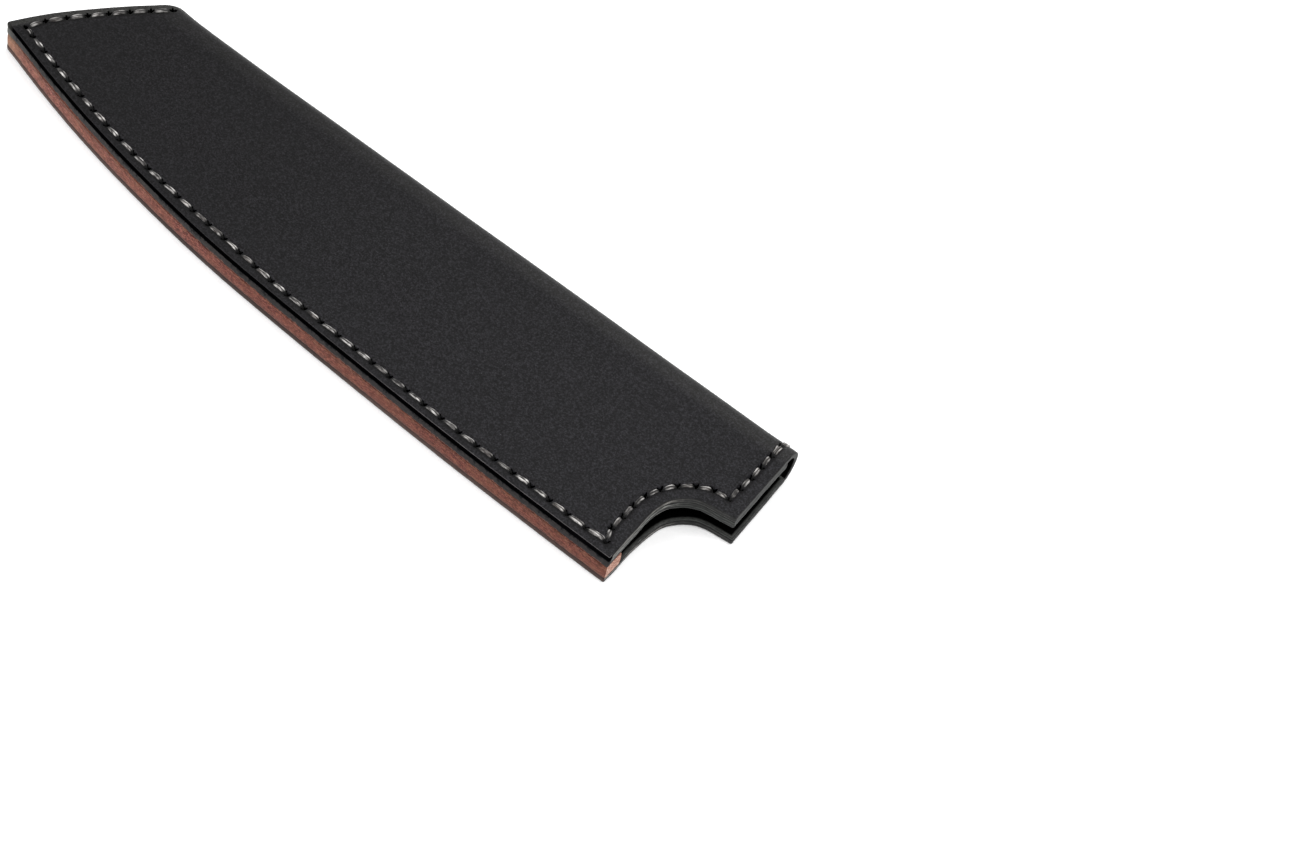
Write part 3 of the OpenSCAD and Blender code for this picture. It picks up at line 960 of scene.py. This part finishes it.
def cover_depth(p):
    d = seam_depth(p)
    step = u_loop[::2]
    near = np.full(len(p), 9.0)
    for i in range(0, len(p), 3000):
        near[i:i + 3000] = np.min(np.linalg.norm(p[i:i + 3000, None, :] - step[None], axis=2), axis=1)
    d += 0.07 * np.exp(-(np.maximum(near - 0.3, 0) / 0.7) ** 2)
    inner = np.clip((near - 1.0) / 6.0, 0, 1)
    d += (waves(p) + 0.035) * inner
    return d


def seam_near(p):
    """Distance from the nearest seam, with the vector from it."""
    q = p.copy()
    q[:, 1] = -np.abs(q[:, 1])
    best, vec = np.full(len(q), 1e9), np.zeros((len(q), 2))
    for s, e in zip(np.vstack([EDGE[:-1], RIMF[:-1]]), np.vstack([EDGE[1:], RIMF[1:]])):
        u = e - s
        t = np.clip(((q - s) @ u) / (u @ u), 0, 1)
        r = q - (s + t[:, None] * u)
        d = np.linalg.norm(r, axis=1)
        m = d < best
        best[m], vec[m] = d[m], r[m]
    return best, vec


def cover_tones(p):
    """Three tones of the face: painted shadow beside the threads, the burnished tip border, and a painted sheen along
    the fold.
    """
    w, r = seam_near(p)
    # painted shadow: the face is darker along one side of each seam, the +x, -v side
    side = np.clip((r @ np.array([0.7, -0.7])) / 0.15, 0, 1)
    shade = side * np.exp(-((w - 0.92) / 0.26) ** 2)
    y = np.array([y_of(v) for v in p[:, 1]])
    d = p[:, 0] - tip_x(y, TIPCUT)
    tip = np.clip((2.3 - d) / 0.7, 0, 1)
    # painted sheen along the fold
    fold = np.clip((Q + 3.2 - np.abs(p[:, 1])) / 3.2, 0, 1)
    return shade, tip * tip * (3 - 2 * tip), fold * fold * (3 - 2 * fold)


def tip_gaps(p):
    """Faces in the dents between the stitches of the tip, which get the near-black hole finish as painted shade."""
    inside_gap = np.zeros(len(p), bool)
    for h, u in zip(EDGE[:len(tip_holes) - 1], edge_tan):
        for m in (np.array([1, 1]), np.array([1, -1])):
            r = p - h * m
            w = u * m
            inside_gap |= ((r @ w) / 0.95) ** 2 + ((r @ np.array([-w[1], w[0]])) / 0.55) ** 2 < 1
    return inside_gap


def seam_rows(h, step=0.25):
    out = []
    for a, b in zip(h[:-1], h[1:]):
        u = b - a
        l = np.linalg.norm(u)
        w = np.array([-u[1], u[0]]) / l
        for t in np.linspace(0, 1, max(2, int(l / step)))[:-1]:
            for o in (0.0, 0.2, -0.2, 0.42, -0.42, 0.66, -0.66, 0.88, -0.88, 1.15, -1.15, 1.5, -1.5, 1.9, -1.9):
                out.append(a + u * t + w * o)
    return np.array(out)


holes_front = slit_loops(EDGE, edge_tan) + slit_loops(RIMH, rim_tan)
holes_back = [np.stack([h[:, 0], -h[:, 1]], 1)[::-1] for h in holes_front]
rows = np.vstack([seam_rows(EDGE), seam_rows(RIMF)])
wrap_rows = np.array([(RIMH[-1][0] + o, v) for v in np.arange(RIMH[-1][1], -RIMH[-1][1], 0.35) for o in (0, 0.25, -0.25, 0.5, -0.5, 0.8, -0.8, 1.2, -1.2)])
rows = np.vstack([rows, mirror(rows), wrap_rows])
fold_pts = hexes((X0, -Q - 0.6), (X1 + 3, Q + 0.6), 1.2, 0.55)

prof = edge_profile(CT, 0.26, 0.14, bulge=0.04)


def place_cover(p, d):
    return wrap(p, d)[0]


cover = slab("outer_cover_leather", u_loop, u_tags, holes_front + holes_back, place_cover, CT, prof,
             [M_face, M_bevel, M_edge, M_rim, M_bedge, M_dark, M_tipb, M_flesh],
             lambda k, tag: (1 if k < 1 else 2) if tag == LONG else (6 if k < 2 else 2) if tag == TIP else (1 if k < 2 else 4) if tag == BACK else (0 if k < 1 else 3),
             depth=cover_depth, seam_pts=rows, spread=1.5, fine=fold_pts, low_spread=3.2, hole_slot=5, wobble=0.03, tones=cover_tones, painted_shade_faces=tip_gaps)
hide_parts("outer_cover")
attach(cover, "root")


# ------------------------------------------------------------------ linings and welt
def flat(z_top, up=1):
    def place(p, d):
        p = np.asarray(p, float)
        return np.stack([p[:, 0], p[:, 1], z_top - np.broadcast_to(d, p[:, 0].shape)], 1)
    return place


def flat_holes(h, tang, limit=None):
    loops = []
    for c, u in zip(h, tang):
        if limit is None or limit(c):
            loops += slit_loops(np.array([c]), np.array([u]), 0.85)
    return loops


E2 = np.array(edge_holes)
R2 = np.array(rim_holes)
ed2, rd2 = tangents(E2), tangents(R2)
low_y = lambda c: c[1] < YF - 0.8

loop, tags = densify(round_corners(flat_outline(TIPCUT), 0.35), 0.6)
loop = loop - out_dir(loop) * 0.08
lining = slab("front_lining_leather", loop, tags, flat_holes(E2, ed2, low_y) + flat_holes(R2, rd2, low_y), flat(ZF + FT), FT,
              edge_profile(FT, 0.16, 0.2, bulge=0.06, mid=4), [M_lface, M_ledge, M_rim2, M_ltip, M_dark, M_lface],
              lambda k, tag: 1 if tag == LONG else 3 if tag == TIP else 2, spread=4.0, low_spread=4.0, hole_slot=4, wobble=0.05)
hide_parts("front_lining")
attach(lining, "root")

# welt: a strip inside the outline
lp = long_pts(0, 1)
end = [q for q in rim_pts(1) if q[1] < YE + WW - 0.5]
welt_in = [(x, y + WW) for x, y in lp[::-1] if X0 + 8.5 < x < HX - 1.2]
yy = y_tip(0) + WW
welt_in += [(tip_x(y, 0) + WW * 1.25, y) for y in np.linspace(yy + 1.2, YF, 12)]
welt_loop = with_tag(lp, LONG) + with_tag(end, RIM) + [(HX - 0.15, YE + WW, FOLD)] + with_tag(welt_in, FOLD) + with_tag(tip_pts(0, YF, 1), TIP)
welt_loop[len(lp) - 1] = (lp[-1][0], lp[-1][1], RIM)
loop, tags = densify(round_corners(welt_loop, lambda q: 0.9 if q[0] < X0 + 2 else 0.35), 0.6)
loop = loop - out_dir(loop) * 0.05
welt = slab("welt_leather", loop, tags, flat_holes(E2, ed2, low_y), flat(ZF), WT,
            edge_profile(WT, 0.16, 0.16, bulge=0.10, mid=5), [M_wface, M_wedge, M_wraw, M_dark, M_wface],
            lambda k, tag: 2 if tag == RIM else 1, spread=4.0, low_spread=4.0, hole_slot=3, wobble=0.06)
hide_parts("welt")
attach(welt, "root")

# thin back lining, it stops at the welt
back_loop = with_tag([q for q in rim_pts(1) if q[1] > YE + WW + 0.05] + mouth_pts(YF, 1), RIM) + with_tag([(tip_x(y, 0) + WW * 1.25 + 0.1, y) for y in np.linspace(YF, yy + 1.2, 12)], TIP) \
    + with_tag([(x, y + WW + 0.1) for x, y in lp if x > X0 + 8.5 and x < HX - 0.6], LONG)
loop, tags = densify(round_corners(back_loop, 0.3), 0.6)
dirs = out_dir(loop)
loop = loop - dirs * 0.08
border = np.vstack([loop - dirs * o for o in (0.3, 0.6, 0.9, 1.25)])
border = border[seg_dist(border, loop, np.roll(loop, -1, 0)) > 0.25]
back = slab("back_lining_leather", loop, tags, flat_holes(R2, rd2, lambda c: YE + WW + 1.5 < c[1] < YF - 0.8), flat(ZW + BT), BT,
            edge_profile(BT, 0.14, 0.1, bulge=0.03, mid=1), [M_btop, M_rim2, M_dark, M_lface],
            lambda k, tag: 1, spread=4.0, fine=border, low_spread=4.0, hole_slot=2, wobble=0.03)
co3 = np.array([v.co[:2] for v in back.data.vertices]) * 1000
at = back.data.attributes.new("border", "FLOAT", "POINT")
at.data.foreach_set("value", np.minimum(seg_dist(co3, loop, np.roll(loop, -1, 0)), 3.0).astype(np.float32))
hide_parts("back_lining")
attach(back, "root")


# ------------------------------------------------------------------ threads
SIDES = 20
RNG = np.random.RandomState(11)


def fibres(k):
    """Random streaks along the thread, 0 to 1."""
    f = RNG.rand(k + 8, SIDES)
    for _ in range(2):
        f = (f[:-4] + 2 * f[1:-3] + 3 * f[2:-2] + 2 * f[3:-1] + f[4:]) / 9
    f = (np.roll(f, 1, 1) + 2 * f + np.roll(f, -1, 1)) / 4
    return np.clip((f - f.mean()) / f.std() * 0.26 + 0.5, 0, 1)


def tube(ctrl, fine=0.2, coarse=0.9):
    """ctrl: list of (place, side vector, half width, half height, hidden, turn, depth). Returns verts and faces of a flattened two-ply thread."""
    P = np.array([c[0] for c in ctrl], float)
    S = np.array([c[1] for c in ctrl], float)
    W = np.array([[c[2], c[3], c[5], c[6], c[7]] for c in ctrl], float)
    hid = [c[4] for c in ctrl]
    pts, sides, wh = [], [], []
    n = len(P)
    for i in range(n - 1):
        p0 = P[i - 1] if i else 2 * P[0] - P[1]
        p3 = P[i + 2] if i + 2 < n else 2 * P[-1] - P[-2]
        p1, p2 = P[i], P[i + 1]
        l = np.linalg.norm(p2 - p1)
        k = max(1, int(round(l / (coarse if hid[i] and hid[i + 1] else fine))))
        for j in range(k):
            t = j / k
            pts.append(0.5 * (2 * p1 + (p2 - p0) * t + (2 * p0 - 5 * p1 + 4 * p2 - p3) * t * t + (3 * p1 - p0 - 3 * p2 + p3) * t ** 3))
            sides.append(S[i] * (1 - t) + S[i + 1] * t)
            wh.append(W[i] * (1 - t) + W[i + 1] * t)
    pts.append(P[-1])
    sides.append(S[-1])
    wh.append(W[-1])
    pts, sides, wh = np.array(pts), np.array(sides), np.array(wh)
    T = np.gradient(pts, axis=0)
    T /= np.linalg.norm(T, axis=1)[:, None]
    S = sides - (sides * T).sum(1)[:, None] * T
    S /= np.linalg.norm(S, axis=1)[:, None]
    N = np.cross(T, S)
    psi = np.arange(SIDES) * 2 * math.pi / SIDES
    a, b = 0.40, 0.60
    m = a * np.abs(np.cos(psi)) + np.sqrt(b * b - (a * np.sin(psi)) ** 2)
    # the groove between the plies, where the thread's finish paints shade
    groove = np.abs(np.sin(psi)) ** 6
    verts, ply, deep, tone = [], [], [], []
    fib = fibres(len(pts))
    for c, s, nn, (w, h, turn, dep, tn), fb in zip(pts, S, N, wh, fib):
        th = psi + turn
        k = m * (0.955 + 0.09 * fb)
        verts.append(c + (np.cos(th) * w * k)[:, None] * s + (np.sin(th) * h * k)[:, None] * nn)
        ply.append(groove)
        deep.append(np.full(SIDES, dep))
        tone.append(np.full(SIDES, tn))
    k = len(verts)
    verts = np.vstack(verts + [pts[:1], pts[-1:]])
    faces = []
    for i in range(k - 1):
        for j in range(SIDES):
            a, b = i * SIDES + j, i * SIDES + (j + 1) % SIDES
            faces.append((a, b, b + SIDES, a + SIDES))
    for j in range(SIDES):
        jn = (j + 1) % SIDES
        faces.append((k * SIDES, jn, j))
        faces.append((k * SIDES + 1, (k - 1) * SIDES + j, (k - 1) * SIDES + jn))
    return verts, faces, np.concatenate(ply + [[1.0, 1.0]]), np.concatenate(deep + [[2.0, 2.0]]), \
        np.concatenate([fib.ravel(), [0.5, 0.5]]), np.concatenate(tone + [[1.0, 1.0]])


def dom(p, d):
    pos, nrm = wrap(np.array([p]), d)
    return pos[0], nrm[0]


HW, HH = 0.455, 0.48
LEAN = 0.42
# painted light along a stitch: it is dim where it comes up and brightest past the middle
PAINTED_STITCH_LIGHT = ((0, 0.25, 0.4, 0.55, 0.68, 0.8, 1), (0.55, 0.67, 0.87, 1.2, 1.42, 1.2, 0.8))


def run_ctrl(a, b, mirror_v, depths, start_deep, end_deep, lift=0.0, w=1.0, turn=0.0, tone=1.0):
    """Controls of one visible stitch from domain point a to b. depths: depth of the middle of the thread along the run."""
    s = np.array([1, -1]) if mirror_v else np.array([1, 1])
    a, b = a * s, b * s
    l = np.linalg.norm(b - a)
    u = (b - a) / l
    n = np.array([-u[1], u[0]])
    a, b = a + n * RNG.normal(0.02, 0.045), b + n * RNG.normal(0.02, 0.045)
    u = (b - a) / l
    w = w * (1 + RNG.normal(0, 0.05))
    tone = tone * (1 + RNG.normal(0, 0.13))
    k = 1 + RNG.normal(0, 0.06)
    mid, end, deep = depths
    short = 1.0
    if tone < 0.8 and a[0] < X0 + 26 and not mirror_v:
        short, w, mid, end = 1.08, w * 1.16, mid - 0.1, end - 0.06
    offs = [(0.15 * k, deep - 0.1), (0.5 * k, deep * 0.68), (0.84 * k, end + 0.24), (1.16 * k, mid + 0.10), (1.5, mid + 0.02), (1.9, mid)]
    if l < 4.2:
        offs = [(0.15, deep - 0.1), (0.42 * k, deep * 0.68), (0.7 * k, end + 0.22), (0.98 * k, mid + 0.09), (1.35, mid)]
    out = []
    k1, k2 = 1.16 * short, 0.9 * short
    seq = [(0.0, start_deep)] + [(o * k1, d) for o, d in offs if o * k1 < l / 2 - 0.2] + [(l / 2, mid - 0.02)] + [(l - o * k2, d) for o, d in offs[::-1] if o * k2 < l / 2 - 0.2] + [(l, end_deep)]
    for o, d in seq:
        if l < 4.2 and abs(o - l / 2) < 0.45 and abs(o - l / 2) > 0.01:
            continue
        p = a + u * o
        pos, nrm = dom(p, d - lift)
        hidden = d > 1.3 or d < -3
        p2, _ = dom(a + u * min(l, o + 0.05), d - lift)
        p1, _ = dom(a + u * max(0, o - 0.05), d - lift)
        t = p2 - p1
        side = np.cross(nrm, t / np.linalg.norm(t))
        if mirror_v:
            side = -side
        f = 0.62 if d > 0.95 else (0.8 if d > 0.55 else 1.0)
        g = 0.62 if d > 0.95 else 1.0
        out.append((pos, side, HW * f * w, HH * g * w, hidden, turn + LEAN * (2 * o / l - 1), d - mid, tone * np.interp(o / l, *PAINTED_STITCH_LIGHT)))
    return out


def saddle(h, dirs, start_up, thick_other, top_depths, low_depths, other, tones):
    """One of the two threads of a saddle stitch: it changes sides at every hole.
    other is None if the seam goes through to the mirrored panel, else the depth of the inner run."""
    c = 0.24
    ctrl = []
    for i in range(len(h) - 1):
        up = (i % 2 == 0) == start_up
        turn = i * math.pi
        a, b = h[i] + dirs[i] * c, h[i + 1] - dirs[i + 1] * c
        if up:
            ctrl += run_ctrl(a, b, False, top_depths, 2.3 if other is None else 1.8, 2.3 if other is None else 1.8, turn=turn, tone=tones[i])
        elif other is None:
            ctrl += run_ctrl(a, b, True, low_depths, 2.3, 2.3, turn=turn, tone=tones[i])
        else:
            # along the inner side of the same panel
            l = np.linalg.norm(b - a)
            u = (b - a) / l
            for o, d in ((0.0, other - 1.4), (0.1, other - 0.45), (0.7, other + 0.2), (l / 2, other + 0.26), (l - 0.7, other + 0.2), (l - 0.1, other - 0.45), (l, other - 1.4)):
                pos, nrm = dom(a + u * o, d)
                p2, _ = dom(a + u * (o + 0.05), d)
                p1, _ = dom(a + u * (o - 0.05), d)
                t = p2 - p1
                side = np.cross(nrm, t / np.linalg.norm(t))
                ctrl.append((pos, side, HW * 0.85, HH * 0.6, True, turn, 1.5, 1.0))
    return ctrl


def thread_mesh(name, parts):
    V, F, vals, o = [], [], [], 0
    for v, f, *val in parts:
        V.append(v)
        vals.append(val)
        F += [tuple(i + o for i in q) for q in f]
        o += len(v)
    ob = make_mesh(name, np.vstack(V), F, [0] * len(F), [M_thread])
    for key, val in zip(("ply", "deep", "fib", "tone"), zip(*vals)):
        at = ob.data.attributes.new(key, "FLOAT", "POINT")
        at.data.foreach_set("value", np.concatenate(val).astype(np.float32))
    return ob


TOP = (0.22, 0.30, 1.25)
LOW = (0.40, 0.46, 1.25)


def doubled(a, b, shift, w=0.85, tone=1.0):
    """A second, slightly raised stitch over the first one."""
    u = (b - a) / np.linalg.norm(b - a)
    n = np.array([-u[1], u[0]]) * shift
    return tube(run_ctrl(a + n, b + n, False, (0.08, 0.24, 1.2), 1.6, 1.6, w=w, tone=tone))


def edge_thread():
    tones = [0.6] * (len(tip_holes) - 1) + [1.0] * (len(EDGE) - len(tip_holes))
    parts = [tube(saddle(EDGE, edge_dirs, s, None, TOP, LOW, None, tones)) for s in (True, False)]
    # doubled stitches at both ends of the seam
    parts.append(doubled(EDGE[0], EDGE[1], 0.2, tone=0.6))
    parts.append(doubled(EDGE[-2], EDGE[-1], 0.2))
    return thread_mesh("edge_thread_waxed", parts)


def mouth_thread():
    parts = []
    inner = CT + FT
    for back in (False, True):
        h = RIMF.copy()
        d = slit_dirs(h)
        for s in (True, False):
            depth_in = CT + BT if back else inner
            c = saddle(h, d, s, None, TOP if not back else LOW, None, depth_in, [0.75] * len(h))
            if back:
                # the same run on the back panel, mirrored over the middle plane
                c = [(np.array([p[0], p[1], TOT - p[2]]), np.array([sd[0], sd[1], -sd[2]]), *rest) for p, sd, *rest in c]
            parts.append(tube(c))
    parts.append(doubled(RIMH[-2], RIMH[-1], -0.42, tone=0.8))
    # the last stitch goes twice over the fold to the back panel
    e = RIMH[-1]
    for off, up in ((0.0, 0.0), (0.72, -0.02)):
        vs = np.linspace(e[1], -e[1], 22)
        c = []
        for i, v in enumerate(vs):
            k = min(i, len(vs) - 1 - i)
            d = (1.2, 0.72, 0.36, 0.16)[k] if k < 4 else 0.02
            x = e[0] + off * (0.3, 0.6, 0.85)[k] if k < 3 else e[0] + off
            pos, nrm = dom(np.array([x, v]), d + up)
            c.append((pos, np.array([-1.0, 0, 0]), HW * (0.75 if k < 1 else 0.92), HH * 0.9, False, LEAN * (i / 10.5 - 1), max(0.0, d - 0.1), 1.0))
        p0, _ = dom(e + np.array([off * 0.2, 0]), 2.2)
        p1, _ = dom((e + np.array([off * 0.2, 0])) * np.array([1, -1]), 2.2)
        c = [(p0, np.array([-1.0, 0, 0]), HW * 0.6, HH * 0.6, True, -LEAN, 2.0, 1.0)] + c + [(p1, np.array([-1.0, 0, 0]), HW * 0.6, HH * 0.6, True, LEAN, 2.0, 1.0)]
        parts.append(tube(c))
    return thread_mesh("mouth_thread_waxed", parts)


et, mt = edge_thread(), mouth_thread()
for ob, node in ((et, "edge_thread"), (mt, "mouth_thread")):
    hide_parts(node)
    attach(ob, "root")

# the CAD nodes stay hidden, but carry the same finishes
for name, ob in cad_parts.items():
    m = {"outer_cover": M_face, "front_lining": M_lface, "back_lining": M_lface, "welt": M_wedge}.get(name, M_thread)
    ob.data.materials.clear()
    ob.data.materials.append(m)
    for p in ob.data.polygons:
        p.material_index = 0


# ------------------------------------------------------------------ stage
def floor_plane():
    me = bpy.data.meshes.new("floor")
    s = 6.0
    me.from_pydata([(-s, -s, -0.0002), (s, -s, -0.0002), (s, s, -0.0002), (-s, s, -0.0002)], [], [(0, 1, 2, 3)])
    ob = bpy.data.objects.new("floor", me)
    bpy.context.scene.collection.objects.link(ob)
    m = bpy.data.materials.new("floor_white")
    m.use_nodes = True
    b = m.node_tree.nodes["Principled BSDF"]
    b.inputs["Base Color"].default_value = (0.94, 0.94, 0.94, 1)
    b.inputs["Roughness"].default_value = 1.0
    b.inputs["Specular IOR Level"].default_value = 0.0
    b.inputs["Emission Color"].default_value = (1, 1, 1, 1)
    b.inputs["Emission Strength"].default_value = 0.18
    me.materials.append(m)
    return ob


floor_plane()


def area(name, loc, target, size, power, size_y=None):
    li = bpy.data.lights.new(name, "AREA")
    li.energy = power
    li.size = size
    if size_y:
        li.shape = "RECTANGLE"
        li.size_y = size_y
    ob = bpy.data.objects.new(name, li)
    bpy.context.scene.collection.objects.link(ob)
    ob.location = loc
    ob.rotation_euler = (Vector(target) - Vector(loc)).to_track_quat("-Z", "Y").to_euler()
    return ob


area("key_soft", (-0.9, -1.3, 1.1), (0, 0, 0), 1.0, 20)
area("top_soft", (0.7, 0.2, 1.6), (0, 0, 0), 1.2, 16)
area("back_soft", (-0.15, 0.95, 1.3), (0.08, 0, 0), 0.5, 4)

w = bpy.data.worlds.new("studio")
bpy.context.scene.world = w
w.use_nodes = True
w.node_tree.nodes["Background"].inputs["Color"].default_value = (1, 1, 1, 1)
w.node_tree.nodes["Background"].inputs["Strength"].default_value = 0.65

bpy.context.scene.view_settings.view_transform = "Standard"
bpy.context.scene.view_settings.look = "None"

cam = bpy.data.cameras.new("camera")
co = bpy.data.objects.new("camera", cam)
bpy.context.scene.collection.objects.link(co)
bpy.context.scene.camera = co
right = Vector((0.78105746, 0.60170361, 0.16703895))
down = Vector((0.56538045, -0.5678225, -0.59826629))
fwd = Vector((-0.26513051, 0.56172091, -0.78369346))
rot = Matrix((right, -down, -fwd)).transposed()
co.matrix_world = Matrix.Translation(Vector((0.301222, -0.475005, 0.679637))) @ rot.to_4x4()
cam.sensor_width = 36
cam.lens = 4000 / 1304 * 36
cam.clip_start = 0.01
cam.clip_end = 50
